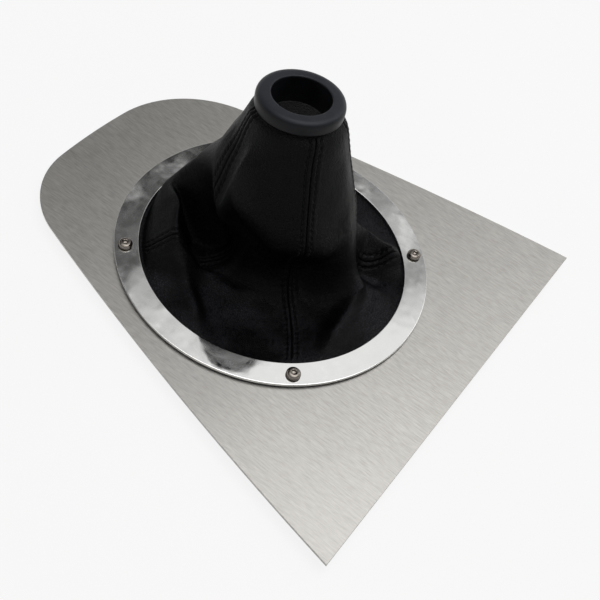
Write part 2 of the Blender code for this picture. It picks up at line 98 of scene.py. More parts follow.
# Corners and seams go round from the back left; panels lie between them
CORNERS = ("back_left", "front_left", "front_right", "back_right")
SIDES = ("left", "front", "right", "back")
SCREW_HEAD_TURNS = (0.3, 0.9, 0.1, 0.6)
SEAMS_AT_RING = [SCREW_TURN + radians(angle) for angle in (135, 225, 315, 405)]
# How far each seam wanders round the lever, in degrees, at every eighth of its length
SEAM_WANDER = ((0, 2.5, 4, 4, 4, 4.2, 5.2, 8, 9), (0, 4, 9.5, 11, 10, 8.5, 10, 14, 16),
               (0, -4, -5, -4.5, -4.5, -5.5, -8.5, -10, -10), (0, 0, 0, 0, 0, 0, 0, 0, 0))

# Leather profiles from the ring to the collar, in hundredths of the way out from the
# collar's groove to the ring and of the way up to the collar's skirt
PROFILE_HOLLOW = ((86, -0.8), (71, -2.5), (54.5, -4), (36, -4.5), (19, -2.5), (8, 4), (5, 13),
                  (9, 22), (19, 30), (29, 37), (32, 45), (28, 55), (21, 68), (14.5, 80), (9.5, 91))
PROFILE_FLAP = ((89, 4), (77, 10.5), (65, 15.5), (59, 9), (49, -3), (28, -4.5), (12, 2), (10, 18),
                (17, 29), (27, 38), (31.5, 46.5), (28, 55), (21, 68), (14.5, 80), (9.5, 91))
PROFILE_PLAIN = ((86, 0.2), (74, 0.4), (63, 1.8), (54, 4.5), (48, 9), (44, 15), (41.5, 22),
                 (39, 29), (36.5, 36), (33.5, 43), (30, 51), (25.5, 60), (20.5, 71), (15.5, 82),
                 (11, 91.5))
PROFILE_TAUT = ((95, 5), (91.5, 10.5), (87, 15.5), (82.5, 20.5), (77, 26), (71, 31.5), (65, 37),
                (58.5, 42.5), (51, 48.5), (43, 54.5), (35.5, 61), (29.5, 68), (24, 75), (17, 83),
                (9.5, 92))
TAUT_BACK_FADE = (radians(56), radians(86))
TAUT_FRONT_FADE_LOW = (radians(99), radians(122))
TAUT_FRONT_FADE_HIGH = (radians(96), radians(160))
FLAP_FRONT_FADE = (radians(140), radians(165))
HOLLOW_FRONT_FADE = (radians(248), radians(284))
# The hollow's overhang and the flap's ridge are higher on the left than on the right
OVERHANG_ANGLES = [radians(angle) for angle in (150, 187, 208, 235, 262, 285)]
OVERHANG_LIFTS = (0.5, 0.42, 0.14, 0.06, -0.2, -0.5)
FLAP_ANGLES = [radians(angle) for angle in (106, 114, 122, 134, 150, 165)]
FLAP_LIFTS = (0.6, 0.7, 0.55, 0.1, -0.4, -0.8)

# Folds: points of the crest as (angle in degrees, radius in hundredths of the ring's inner
# radius, height in hundredths of the collar's), the width of the crest and its height
FOLDS = (
    (((100, 98, 7), (108, 95, 14), (114, 90, 21)), 0.010, 0.002),
    (((184, 97, 0), (172, 82.5, 0), (160, 75, 0), (148, 73, 3), (140, 73, 8)), 0.005, 0.007),
    (((239, 94, -1), (257, 77, 0), (273, 68, 3), (286, 60.5, 8.5)), 0.006, 0.0085),
    (((268, 91, -1), (283, 86, 0), (292, 79, 2)), 0.005, 0.003),
    (((300, 84.5, 0), (301, 75, 1), (304, 68, 3.5)), 0.0065, -0.006),
    (((312, 97, 0), (316, 83, 1), (322, 72, 3.5), (334, 61, 15)), 0.006, 0.010),
    (((380, 95.5, 0), (374, 79, 1), (368, 65, 7.5)), 0.0065, 0.007),
    (((422, 95.5, 0), (427, 83, 4.5), (430, 72, 15)), 0.0065, 0.006),
    (((152, 58, -3.5), (178, 45.5, -3), (203, 37.5, -2)), 0.005, 0.0025),
)
FOLD_SAMPLES = 64

# Seams: a groove between rolled edges, with a row of stitches pressed in on each side
STITCH_OFFSET = 0.0027
STITCH_PITCH = 0.0036
STITCH_LENGTH = 0.0029
THREAD_RADIUS = 0.00030
SEWN_SHARES = (0.03, 0.915)
# Grid columns beside a seam, as distances from it in millimetres
SEAM_COLUMNS_MM = (0, .12, .26, .42, .6, .8, 1.05, 1.35, 1.7, 2.05, 2.35, 2.55, 2.7, 2.85, 3.05,
                   3.35, 3.8, 4.4, 5.1, 6.0)
SEAM_COLUMNS = np.array(SEAM_COLUMNS_MM) * 0.001
PANEL_COLUMNS = 62
PANEL_ROWS = 250
LINED_LEATHER = LEATHER + 0.0002
# A small step of angle or of share, to take directions from
STEP = 0.001
MERGE_DISTANCE = 0.000002

# Camera, floor and light
CAMERA_PLACE = (-0.32180, -0.14991, 0.40315)
CAMERA_TURN = (38.1445, -12.1086, -53.7707)
CAMERA_LENS = 58.8715
FLOOR_SIZE = 6.0
FLOOR_WHITENESS = 0.85
DIM_SIDE = radians(75)
EVEN_LIGHT = 0.30
# Each lamp's name, place, width in metres and power in watts
LAMPS = (("overhead", (0.15, -0.15, 1.4), 1.1, 8.0), ("side", (1.1, -0.5, 0.9), 0.5, 1.5))


def grid_quads(rows, columns, wrap_rows=False, wrap_columns=False):
    """Corner numbers of a grid's quads; the grid closes on itself where it wraps."""
    row = np.arange(rows if wrap_rows else rows - 1)[:, None]
    column = np.arange(columns if wrap_columns else columns - 1)[None, :]
    next_row = (row + 1) % rows * columns
    next_column = (column + 1) % columns
    corners = (row * columns + column, row * columns + next_column,
               next_row + next_column, next_row + column)
    return np.stack(np.broadcast_arrays(*corners), axis=-1).reshape(-1, 4)


def mesh_from(name, points, quads):
    """A mesh with its doubles merged, its poles closed and its faces pointing outwards."""
    mesh = bpy.data.meshes.new(name)
    mesh.from_pydata(points.reshape(-1, 3).tolist(), [], quads.tolist())
    work = bmesh.new()
    work.from_mesh(mesh)
    bmesh.ops.remove_doubles(work, verts=work.verts, dist=MERGE_DISTANCE)
    bmesh.ops.recalc_face_normals(work, faces=work.faces)
    work.to_mesh(mesh)
    work.free()
    return mesh


def dress(name, mesh, material, node, sharp=35):
    """A piece of the object from a mesh, in place of one solid."""
    mesh.materials.clear()
    mesh.materials.append(material)
    mesh.shade_smooth()
    mesh.set_sharp_from_angle(angle=radians(sharp))
    piece = bpy.data.objects.new(name, mesh)
    bpy.context.scene.collection.objects.link(piece)
    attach(piece, "root")
    if node:
        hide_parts(node)
    return piece


def rounded(corners, steps=4):
    """A closed outline of (x, y, rounding) corners, each rounded by a parabola between its sides.

    A corner at B with its sides cut at A and C follows (1-t)^2 A + 2t(1-t) B + t^2 C. One more
    point a little beyond each cut keeps the shading of the flat sides flat.
    """
    beyond = 0.3
    corners = np.array(corners, dtype=float)
    previous = np.roll(corners, 1, axis=0)
    following = np.roll(corners, -1, axis=0)
    t = np.linspace(0.0, 1.0, steps + 1)[:, None]
    outline = []
    for before, here, after in zip(previous, corners, following):
        back = (before - here)[:2] / np.linalg.norm((before - here)[:2])
        on = (after - here)[:2] / np.linalg.norm((after - here)[:2])
        start = here[:2] + back * here[2]
        end = here[:2] + on * here[2]
        curve = (1 - t) ** 2 * start + 2 * t * (1 - t) * here[:2] + t ** 2 * end
        outline += [start + beyond * back * here[2], *curve, end + beyond * on * here[2]]
    return np.array(outline)


def turned(profile, steps):
    """A profile of (radius, height) points turned about Z, as a grid that wraps both ways."""
    profile = np.asarray(profile)
    angle = np.linspace(0.0, 2 * pi, steps, endpoint=False)[None, :]
    height = np.broadcast_to(profile[:, 1:], (len(profile), steps))
    points = polar(angle, profile[:, :1], height)
    return points, grid_quads(len(profile), steps, wrap_rows=True, wrap_columns=True)


def screw_places():
    """The middle of each screw, at height 0."""
    return [np.array([RING_CENTRE[0] + SCREW_CIRCLE_RADIUS * cos(a),
                      RING_CENTRE[1] + SCREW_CIRCLE_RADIUS * sin(a), 0.0]) for a in SEAMS_AT_RING]


def drilled(mesh):
    """The mesh with the four screw holes cut through it."""
    low, high = -0.01, 0.03
    rim = [(HOLE_DIAMETER / 2, low), (HOLE_DIAMETER / 2, high), (0.0, high), (0.0, low)]
    points, quads = turned(rim, 32)
    flat = points.reshape(-1, 3)
    drills = np.concatenate([flat + place for place in screw_places()])
    faces = np.concatenate([quads + k * len(flat) for k in range(4)])
    drill = bpy.data.objects.new("drill", mesh_from("drill", drills, faces))
    blank = bpy.data.objects.new("blank", mesh)
    for thing in (drill, blank):
        bpy.context.scene.collection.objects.link(thing)
    cut = blank.modifiers.new("holes", "BOOLEAN")
    cut.operation = "DIFFERENCE"
    cut.object = drill
    depsgraph = bpy.context.evaluated_depsgraph_get()
    result = bpy.data.meshes.new_from_object(blank.evaluated_get(depsgraph))
    for thing in (drill, blank):
        bpy.data.objects.remove(thing, do_unlink=True)
    return result


def arc(centre, radius, start, end, steps):
    """Points of a circle's arc from one angle to another."""
    angle = np.linspace(start, end, steps + 1)
    return np.stack([centre[0] + radius * np.cos(angle),
                     centre[1] + radius * np.sin(angle)], axis=-1)


def plate_half(corner_radius):
    """The plate's right half: a shallow side arc, a corner arc that touches both, an end arc."""
    foot = Vector((PLATE_WIDE_EDGE / 2, -PLATE_LENGTH / 2))
    head = Vector((PLATE_NARROW_WIDTH / 2, PLATE_SIDE_LENGTH - PLATE_LENGTH / 2))
    chord = head - foot
    side_radius = (chord.length / 2) ** 2 / (2 * PLATE_SIDE_BOW) + PLATE_SIDE_BOW / 2
    inwards = Vector((-chord.y, chord.x)).normalized()
    side_centre = (foot + head) / 2 + inwards * (side_radius - PLATE_SIDE_BOW)
    end_centre = Vector((0.0, PLATE_LENGTH / 2 - PLATE_END_RADIUS))
    side_reach = side_radius - corner_radius
    end_reach = PLATE_END_RADIUS - corner_radius
    apart = end_centre - side_centre
    along = (side_reach ** 2 - end_reach ** 2 + apart.length ** 2) / (2 * apart.length)
    aside = sqrt(side_reach ** 2 - along ** 2)
    direction = apart.normalized()
    across = Vector((-direction.y, direction.x))
    corner = max((side_centre + direction * along + across * aside * way for way in (1, -1)),
                 key=lambda point: point.y)
    side_start = atan2(foot.y - side_centre.y, foot.x - side_centre.x)
    side_end = atan2(corner.y - side_centre.y, corner.x - side_centre.x)
    end_start = atan2(corner.y - end_centre.y, corner.x - end_centre.x)
    return np.vstack([arc(side_centre, side_radius, side_start, side_end, 60),
                      arc(corner, corner_radius, side_end, end_start, 40)[1:],
                      arc(end_centre, PLATE_END_RADIUS, end_start, pi / 2, 24)[1:]])


def plate_points():
    """The plate as a closed ribbon carried round its outline.

    Each outline point faces the point of the opening in line with the ring's centre. The
    ribbon's rows are (share of the way out, push outwards, height), and round both edges.
    """
    right = plate_half(PLATE_CORNER_RADIUS_RIGHT)
    left = plate_half(PLATE_CORNER_RADIUS_LEFT)[:-1][::-1] * (-1, 1)
    front = np.stack([np.linspace(left[-1, 0], right[0, 0], 82)[1:-1],
                      np.full(80, -PLATE_LENGTH / 2)], axis=-1)
    outline = np.vstack([right, left, front])
    centre = np.array(RING_CENTRE)
    outwards = (outline - centre) / np.linalg.norm(outline - centre, axis=1, keepdims=True)
    opening = centre + outwards * OPENING_RADIUS
    edge = 0.00018
    low = PLATE_TOP_Z - PLATE_THICKNESS
    top = PLATE_TOP_Z
    inner = [(0, 2 * edge, low), (0, edge, low), (0, 0.3 * edge, low + 0.3 * edge),
             (0, 0, low + edge), (0, 0, top - edge), (0, 0.3 * edge, top - 0.3 * edge),
             (0, edge, top), (0, 2 * edge, top)]
    outer = [(1, -push, low + top - z) for _, push, z in inner]
    shares = (0.25, 0.5, 0.75)
    rows = inner + [(s, 0, top) for s in shares] + outer + [(s, 0, low) for s in shares[::-1]]
    rows = np.array(rows)[:, None, :]
    flat = opening + (outline - opening) * rows[..., :1] + outwards * rows[..., 1:2]
    height = np.broadcast_to(rows[..., 2:], (*flat.shape[:2], 1))
    return np.concatenate([flat, height], axis=-1)


def build_plate(material):
    """The ribbon with its screw holes, and a flat map, in metres, that the brushing follows."""
    points = plate_points()
    mesh = drilled(mesh_from("plate", points, grid_quads(*points.shape[:2], True, True)))
    grain_map = mesh.uv_layers.new(name="brushing")
    corner = np.zeros(len(mesh.loops), dtype=np.int64)
    mesh.loops.foreach_get("vertex_index", corner)
    place = np.zeros(len(mesh.vertices) * 3)
    mesh.vertices.foreach_get("co", place)
    grain_map.data.foreach_set("uv", place.reshape(-1, 3)[corner, :2].ravel())
    dress("brushed_cover_plate", mesh, material, "cover_plate")


def build_ring(material):
    """A turned rectangle with broken edges; clamping has pulled its outer rim down a little."""
    low = RING_UNDERSIDE_Z
    top = RING_UNDERSIDE_Z + RING_THICKNESS
    dished = 0.0003
    profile = rounded([(RING_INNER_RADIUS, low, 0.0002), (RING_OUTER_RADIUS, low, 0.0002),
                       (RING_OUTER_RADIUS, top - dished, 0.0003),
                       (RING_INNER_RADIUS, top, 0.00035)])
    points, quads = turned(profile, 360)
    mesh = drilled(mesh_from("ring", points + (*RING_CENTRE, 0.0), quads))
    dress("polished_clamping_ring", mesh, material, "retaining_ring")


def full_profile(stations):
    """Radius and height of every station, with the clamped foot and the top in the groove."""
    groove = COLLAR_RADIUS - COLLAR_SKIRT_WALL - COLLAR_LEATHER_CLEARANCE
    skirt_z = COLLAR_CENTRE[2] - COLLAR_SKIRT_HEIGHT
    top_z = COLLAR_CENTRE[2] - COLLAR_TOP_WALL - COLLAR_LEATHER_CLEARANCE
    foot = [(RING_INNER_RADIUS - 1.5 * LEATHER, 0.7 * CLAMPED_LEATHER)]
    body = [(groove + (RING_INNER_RADIUS - groove) * out / 100, skirt_z * up / 100)
            for out, up in stations]
    head = [(groove + 3 * LEATHER, skirt_z - 3.4 * LEATHER),
            (groove + LEATHER, skirt_z - 1.2 * LEATHER),
            (groove, skirt_z + 0.3 * LEATHER), (groove, top_z)]
    return np.array(foot + body + head)


def through(points, position):
    """Catmull-Rom curve through an array of points; position counts from the first point."""
    points = np.vstack([2 * points[0] - points[1], points, 2 * points[-1] - points[-2]])
    first = np.clip(position.astype(int), 0, len(points) - 4)
    t = (position - first)[..., None]
    a, b, c, d = (points[first + k] for k in range(4))
    return 0.5 * (2 * b + (c - a) * t + (2 * a - 5 * b + 4 * c - d) * t ** 2
                  + (3 * b - a - 3 * c + d) * t ** 3)


def along_profile(stations, share):
    """Radius and height at a share of the way from the ring to the collar."""
    points = full_profile(stations)
    return through(points, np.clip(share, 0.0, 1.0) * (len(points) - 1))


def ease(low, high, value):
    """0 below low, 1 above high, and a smooth step between."""
    t = np.clip((value - low) / (high - low), 0.0, 1.0)
    return t * t * (3 - 2 * t)


def bell(value, middle, width):
    """A bell curve that is 1 at its middle."""
    return np.exp(-0.5 * ((value - middle) / width) ** 2)


def lifted(profile, angle, angles, lifts):
    """A profile with its lower half raised by the lift that belongs to each angle."""
    lift = np.interp(angle, angles, lifts)
    reach = COLLAR_CENTRE[2] - 2 * COLLAR_SKIRT_HEIGHT
    rise = np.clip(profile[..., 1] / reach, 0.0, 1.0)
    factor = 1 + lift * 6.75 * rise * (1 - rise) ** 2
    return np.stack([profile[..., 0], profile[..., 1] * factor], axis=-1)


def section(angle, share):
    """Radius and height of the outer skin, a blend of the four profiles by angle."""
    turn = np.mod(angle, 2 * pi)
    upper = ease(0.36, 0.56, share)
    start, end = (low + (high - low) * upper
                  for low, high in zip(TAUT_FRONT_FADE_LOW, TAUT_FRONT_FADE_HIGH))
    slack = ease(start, end, turn)
    taut = ease(*TAUT_BACK_FADE, turn) * (1 - slack)
    flap = slack * (1 - ease(*FLAP_FRONT_FADE, turn))
    hollow = (slack - flap) * (1 - ease(*HOLLOW_FRONT_FADE, turn))
    plain = 1 - taut - flap - hollow
    overhang = lifted(along_profile(PROFILE_HOLLOW, share), turn, OVERHANG_ANGLES, OVERHANG_LIFTS)
    ridge = lifted(along_profile(PROFILE_FLAP, share), turn, FLAP_ANGLES, FLAP_LIFTS)
    return (taut[..., None] * along_profile(PROFILE_TAUT, share) + flap[..., None] * ridge
            + hollow[..., None] * overhang + plain[..., None] * along_profile(PROFILE_PLAIN, share))


def polar(angle, radius, height):
    """Points at these angles and radii about Z."""
    return np.stack([radius * np.cos(angle), radius * np.sin(angle), height], axis=-1)


def fold_lift(points, crest, width, height):
    """How far a fold lifts each point: the highest of the bells along the fold's crest.

    Each bell is a sharp one on a broad one, so that the leather rises softly to a crisp ridge.
    """
    crest = np.array(crest, dtype=float)
    radius = crest[:, 1] / 100 * RING_INNER_RADIUS
    rise = crest[:, 2] / 100 * COLLAR_CENTRE[2]
    along = np.linspace(0.0, 1.0, FOLD_SAMPLES)
    line = through(polar(np.radians(crest[:, 0]), radius, rise), along * (len(crest) - 1))
    taper = ease(-0.1, 0.25, along) * (1 - ease(0.75, 1.1, along))
    away = np.linalg.norm(points[..., None, :] - line, axis=-1)
    ridge = 0.5 * bell(away, 0.0, 0.6 * width) + 0.5 * bell(away, 0.0, 1.25 * width)
    return height * (taper * ridge).max(axis=-1)


def spine(height):
    """The gaiter's middle line, which ends along the collar's axis, and its share of lean."""
    rise = COLLAR_CENTRE[2]
    share = np.clip(height / rise, 0.0, 1.0)
    pull = 3 * share ** 2 - 2 * share ** 3
    swing = (share ** 3 - share ** 2) * rise
    x = COLLAR_CENTRE[0] * pull + COLLAR_LEAN[0] * swing
    y = COLLAR_CENTRE[1] * pull + COLLAR_LEAN[1] * swing
    return x, y, ease(0.4, 0.9, share)


def skin(angle, share):
    """Points of the leather's outer skin, from the ring's centre on the plate's top.

    The folds lift the blended section along its own normal, and the spine then leans it.
    """
    here = section(angle, share)
    ahead = section(angle, np.minimum(share + STEP, 1.0))
    run = ahead - section(angle, np.maximum(share - STEP, 0.0))
    run /= np.linalg.norm(run, axis=-1, keepdims=True)
    points = polar(angle, here[..., 0], here[..., 1])
    lift = sum(fold_lift(points, *fold) for fold in FOLDS)
    radius = here[..., 0] + lift * run[..., 1]
    height = here[..., 1] - lift * run[..., 0]
    x, y, lean = spine(height)
    east = radius * np.cos(angle)
    north = radius * np.sin(angle)
    dip = lean * (COLLAR_LEAN[0] * east + COLLAR_LEAN[1] * north)
    return np.stack([x + east, y + north, height - dip], axis=-1)


def skin_and_normal(angle, share):
    """The skin's points, and its normals from the cross product of its two directions."""
    up = skin(angle, np.minimum(share + STEP, 1.0)) - skin(angle, np.maximum(share - STEP, 0.0))
    sideways = skin(angle + STEP, share) - skin(angle - STEP, share)
    normal = np.cross(sideways, up)
    return skin(angle, share), normal / np.linalg.norm(normal, axis=-1, keepdims=True)


def seam_angle(number, share):
    """The angle of a seam at a share of its length; the fifth is the first, a turn on."""
    lap, seam = divmod(number, 4)
    stations = np.array(SEAM_WANDER[seam], dtype=float)[:, None]
    wander = through(stations, share * (len(stations) - 1))[..., 0]
    return SEAMS_AT_RING[seam] + np.radians(wander) + 2 * pi * lap


def seam_length(number, share):
    """The length of the seam from the ring up to each share of it."""
    fine = np.linspace(0.0, 1.0, 400)
    line = skin(seam_angle(number, fine), fine)
    length = np.concatenate([[0.0], np.cumsum(np.linalg.norm(np.diff(line, axis=0), axis=1))])
    return np.interp(share, fine, length)


def seam_relief(away, along, share):
    """Height of the sewn leather over the plain skin, in metres.

    The edge rolls down into the seam's groove, stands a little proud where the leather is
    doubled under, dips along the row of stitches, and puckers between them.
    """
    mm = away * 1000
    row = STITCH_OFFSET * 1000
    relief = (-0.55 * np.exp(-(mm / 0.30) ** 2) + 0.30 * bell(mm, 1.35, 0.62)
              - 0.50 * bell(mm, row, 0.36) + 0.24 * (1 - ease(4.0, 6.0, mm)))
    pucker = np.cos(2 * pi * along / STITCH_PITCH)
    relief = relief - 0.24 * pucker * bell(mm, row, 0.6) - 0.08 * pucker * bell(mm, 1.4, 0.6)
    return 0.001 * relief * ease(0.0, 0.05, share) * (1 - ease(0.87, 0.93, share))


def waves(points, longest, shortest, count, seed):
    """A smooth random field of about unit size: cosines of many directions added up."""
    draw = np.random.default_rng(seed)
    direction = draw.normal(size=(count, 3))
    direction /= np.linalg.norm(direction, axis=1, keepdims=True)
    number = 2 * pi / draw.uniform(shortest, longest, size=(count, 1))
    phase = draw.uniform(0.0, 2 * pi, size=count)
    return np.cos(points @ (direction * number).T + phase).sum(axis=-1) * sqrt(2 / count)


def wrinkles(points, share):
    """Soft unevenness all over, and fine creases where a random field passes through zero."""
    soft = 0.22 * waves(points, longest=0.034, shortest=0.016, count=24, seed=5)
    field = waves(points, longest=0.020, shortest=0.009, count=24, seed=8)
    creases = -0.20 * np.exp(-(field / 0.16) ** 2)
    slack = 1 - ease(0.45, 0.7, share)
    held = ease(0.0, 0.08, share) * (1 - ease(0.80, 0.90, share))
    return 0.001 * held * (soft + creases * (0.35 + 0.65 * slack))


def panel_grids(number):
    """Outer and inner grids of one panel, from its clamped edge up to the collar's groove.

    Columns stand at fixed distances from both seams and are spread evenly between them.
    """
    share = np.linspace(0.0, 1.0, PANEL_ROWS + 1)[:, None]
    first = seam_angle(number, share)
    last = seam_angle(number + 1, share)
    near = first + SEAM_COLUMNS / section(first, share)[..., 0]
    far = last - SEAM_COLUMNS[::-1] / section(last, share)[..., 0]
    between = np.linspace(0.0, 1.0, PANEL_COLUMNS + 2)[1:-1]
    middle = near[:, -1:] + (far[:, :1] - near[:, -1:]) * between
    angle = np.hstack([near, middle, far])
    share = np.broadcast_to(share, angle.shape)
    plain = skin(angle, share)
    normal = np.cross(np.gradient(plain, axis=1), np.gradient(plain, axis=0))
    normal /= np.linalg.norm(normal, axis=-1, keepdims=True)
    radius = section(angle, share)[..., 0]
    relief = sum(seam_relief(np.abs(angle - seam) * radius, seam_length(k, share), share)
                 for k, seam in ((number, first), (number + 1, last)))
    outer = plain + normal * (relief + wrinkles(plain, share))[..., None]
    inner = plain - normal * LINED_LEATHER
    flange = np.linspace(RING_OUTER_RADIUS - FLANGE_SETBACK, RING_INNER_RADIUS, 5)[:, None]
    clamped = polar(angle[:1], flange, np.full_like(flange * angle[:1], GAP + CLAMPED_LEATHER))
    beneath = polar(angle[:1], flange, np.full_like(flange * angle[:1], GAP))
    return np.vstack([clamped, outer]), np.vstack([beneath, inner])


def build_panel(number, material):
    """A closed panel between its two grids, with walls round its edge."""
    outer, inner = panel_grids(number)
    rows, columns = outer.shape[:2]
    place = np.arange(rows * columns).reshape(rows, columns)
    rim = np.concatenate([place[0, :-1], place[:-1, -1], place[-1, :0:-1], place[:0:-1, 0]])
    ahead = np.roll(rim, -1)
    under = rows * columns
    walls = np.stack([rim, rim + under, ahead + under, ahead], axis=-1)
    quads = grid_quads(rows, columns)
    faces = np.concatenate([quads, quads[:, ::-1] + under, walls])
    points = np.concatenate([outer.reshape(-1, 3), inner.reshape(-1, 3)])
    points = points + (*RING_CENTRE, PLATE_TOP_Z)
    node = "gaiter_panel_" + SIDES[number]
    mesh = mesh_from(node, points, faces)
    piece = dress("leather_" + node, mesh, material, node, sharp=60)


def build_stitches(number, material):
    """Two rows of stitches along a seam: short bent threads that dive into the leather.

    A thread's centre runs along the seam by t from -1 to 1, and stands over the skin by an
    arch of 1 - t^2; a round tube is carried along it.
    """
    fine = np.linspace(*SEWN_SHARES, 900)
    t = np.linspace(-1.0, 1.0, 9)
    around = np.linspace(0.0, 2 * pi, 6, endpoint=False)
    threads = []
    for side in (-1, 1):
        seam = seam_angle(number, fine)
        angle = seam + side * STITCH_OFFSET / section(seam, fine)[..., 0]
        line, normal = skin_and_normal(angle, fine)
        line = line + normal * seam_relief(np.full_like(fine, STITCH_OFFSET),
                                           seam_length(number, fine), fine)[:, None]
        line = line + normal * wrinkles(line, fine)[:, None]
        length = np.concatenate([[0.0], np.cumsum(np.linalg.norm(np.diff(line, axis=0), axis=1))])
        middles = np.arange(STITCH_PITCH, length[-1] - STITCH_PITCH, STITCH_PITCH)
        reach = middles[:, None] + t * STITCH_LENGTH / 2
        centre = np.stack([np.interp(reach, length, line[:, k]) for k in range(3)], axis=-1)
        out = np.stack([np.interp(reach, length, normal[:, k]) for k in range(3)], axis=-1)
        ahead = np.gradient(centre, axis=1)
        ahead /= np.linalg.norm(ahead, axis=-1, keepdims=True)
        aside = np.cross(ahead, out)
        arch = THREAD_RADIUS * (1.15 * (1 - t ** 2) - 0.55)
        width = THREAD_RADIUS * (1 - 0.45 * t ** 4)
        centre = centre + out * arch[:, None]
        rise = (width[:, None] * np.cos(around))[..., None]
        spread = (width[:, None] * np.sin(around))[..., None]
        tube = centre[..., None, :] + out[..., None, :] * rise + aside[..., None, :] * spread
        threads.append(tube)
    tubes = np.concatenate(threads)
    count, rings, sides = tubes.shape[:3]
    one = grid_quads(rings, sides, wrap_columns=True)
    quads = (one[None] + np.arange(count)[:, None, None] * rings * sides).reshape(-1, 4)
    points = tubes.reshape(-1, 3) + (*RING_CENTRE, PLATE_TOP_Z)
    mesh = mesh_from("stitches", points, quads)
    work = bmesh.new()
    work.from_mesh(mesh)
    bmesh.ops.holes_fill(work, edges=work.edges, sides=sides)
    bmesh.ops.recalc_face_normals(work, faces=work.faces)
    work.to_mesh(mesh)
    work.free()
    dress("stitches_" + CORNERS[number % 4], mesh, material, None, sharp=60)


def build_collar(material):
    """A turned profile: a rounded skirt outside, a neck inside and a groove between them."""
    neck = COLLAR_BORE_RADIUS + COLLAR_NECK_WALL
    groove = COLLAR_RADIUS - COLLAR_SKIRT_WALL
    profile = rounded([(COLLAR_BORE_RADIUS, 0.0, 0.0010),
                       (COLLAR_BORE_RADIUS, -COLLAR_NECK_LENGTH, 0.0004),
                       (neck, -COLLAR_NECK_LENGTH, 0.0004), (neck, -COLLAR_TOP_WALL, 0.0003),
                       (groove, -COLLAR_TOP_WALL, 0.0003), (groove, -COLLAR_SKIRT_HEIGHT, 0.0003),
                       (COLLAR_RADIUS, -COLLAR_SKIRT_HEIGHT, 0.0014),
                       (COLLAR_RADIUS, 0.0, 0.0036)], 8)
    points, quads = turned(profile, 160)
    axis = Vector((*COLLAR_LEAN, 1.0)).normalized()
    turn = np.array(Vector((0.0, 0.0, 1.0)).rotation_difference(axis).to_matrix())
    points = points @ turn.T + np.array(COLLAR_CENTRE) + (*RING_CENTRE, PLATE_TOP_Z)
    mesh = mesh_from("collar", points, quads)
    dress("moulded_lever_collar", mesh, material, "collar")


def hexagon(angle, flats):
    """The radius of a hexagon with these flats, at each angle."""
    return flats / 2 / np.cos(np.mod(angle + pi / 6, pi / 3) - pi / 6)


def hexed(rows, steps, turn=0.0):
    """A turned grid whose rows are (share of hexagon, flats, radius, height).

    A row's radius is the smaller of its hexagon and its circle where it has a share of
    hexagon, and its circle alone where it has none.
    """
    angle = np.linspace(0.0, 2 * pi, steps, endpoint=False)[None, :]
    rows = np.array(rows, dtype=float)
    hexes = hexagon(angle, rows[:, 1:2])
    radius = np.where(rows[:, :1] > 0, np.minimum(hexes, rows[:, 2:3]), rows[:, 2:3] + 0 * angle)
    height = np.broadcast_to(rows[:, 3:], radius.shape)
    points = polar(angle + turn, radius, height)
    return points, grid_quads(len(rows), steps, wrap_rows=True, wrap_columns=True)


def button_head_screw(turn):
    """A domed head with a hexagon socket, and a threaded shank with its seat at height 0."""
    head = SCREW_HEAD_DIAMETER / 2
    shank = SCREW_DIAMETER / 2
    top = SCREW_HEAD_HEIGHT
    flats = SCREW_SOCKET_FLATS
    floor = top - SCREW_SOCKET_DEPTH
    rim = flats / sqrt(3) + 0.00025
    socket = [(0, flats, 0.0, floor - 0.00025), (1, 0.9 * flats, flats, floor),
              (1, flats, flats, floor + 0.0001), (1, flats, flats, top - 0.00030),
              (1, flats + 0.0001, flats, top - 0.00022), (0, flats, rim, top - 0.00006),
              (0, flats, rim + 0.00008, top)]
    bend = np.linspace(0.0, pi / 2, 12)[1:]
    crown = rim + 0.00015
    edge = 0.00045
    dome = [(0, flats, crown + (head - crown) * sin(b), edge + (top - edge) * cos(b)) for b in bend]
    seat = [(0, flats, head, 0.00012), (0, flats, head - 0.0001, 0.0), (0, flats, shank, 0.0)]
    depth = 0.6 * SCREW_PITCH
    turns = np.arange(0.0008, SCREW_LENGTH - 0.0005, SCREW_PITCH / 4)
    shank_rows = [(0, flats, shank, -z) for z in turns]
    end = [(0, flats, shank - depth, -SCREW_LENGTH), (0, flats, 0.0, -SCREW_LENGTH)]
    points, quads = hexed(socket + dome + seat + shank_rows + end, 48, turn)
    # The thread: a sawtooth in height that climbs one pitch a turn
    first = len(socket + dome + seat)
    last = first + len(shank_rows)
    thread = points[first:last]
    angle = np.arctan2(thread[..., 1], thread[..., 0])
    phase = np.mod(thread[..., 2] / SCREW_PITCH + angle / (2 * pi), 1.0)
    scale = 1 - depth / shank * np.abs(2 * phase - 1)
    points[first:last, :, :2] *= scale[..., None]
    return points, quads


def locking_nut(turn):
    """A hexagon with chamfered corners over a round crown, with its upper face at height 0."""
    flats = NUT_FLATS
    corner = flats / sqrt(3)
    bore = SCREW_DIAMETER / 2 + GAP
    crown = NUT_CROWN_DIAMETER / 2
    low = -NUT_HEX_HEIGHT
    foot = -NUT_HEIGHT
    rows = [(0, flats, bore + 0.0002, 0.0), (0, flats, flats * 0.475, 0.0),
            (1, flats, flats * 0.49, -0.00004), (1, flats, corner * 0.95, -0.0003),
            (1, flats, corner, -0.0006), (1, flats, corner, low + 0.0005),
            (1, flats, corner * 0.95, low + 0.0002), (1, flats, flats * 0.49, low),
            (0, flats, crown + 0.0001, low - 0.0001), (0, flats, crown, low - 0.0003),
            (0, flats, crown, foot + 0.0005), (0, flats, crown - 0.0002, foot + 0.0001),
            (0, flats, crown - 0.0005, foot), (0, flats, bore + 0.0001, foot),
            (0, flats, bore, foot + 0.0002), (0, flats, bore, -0.0002)]
    return hexed(rows, 48, turn)


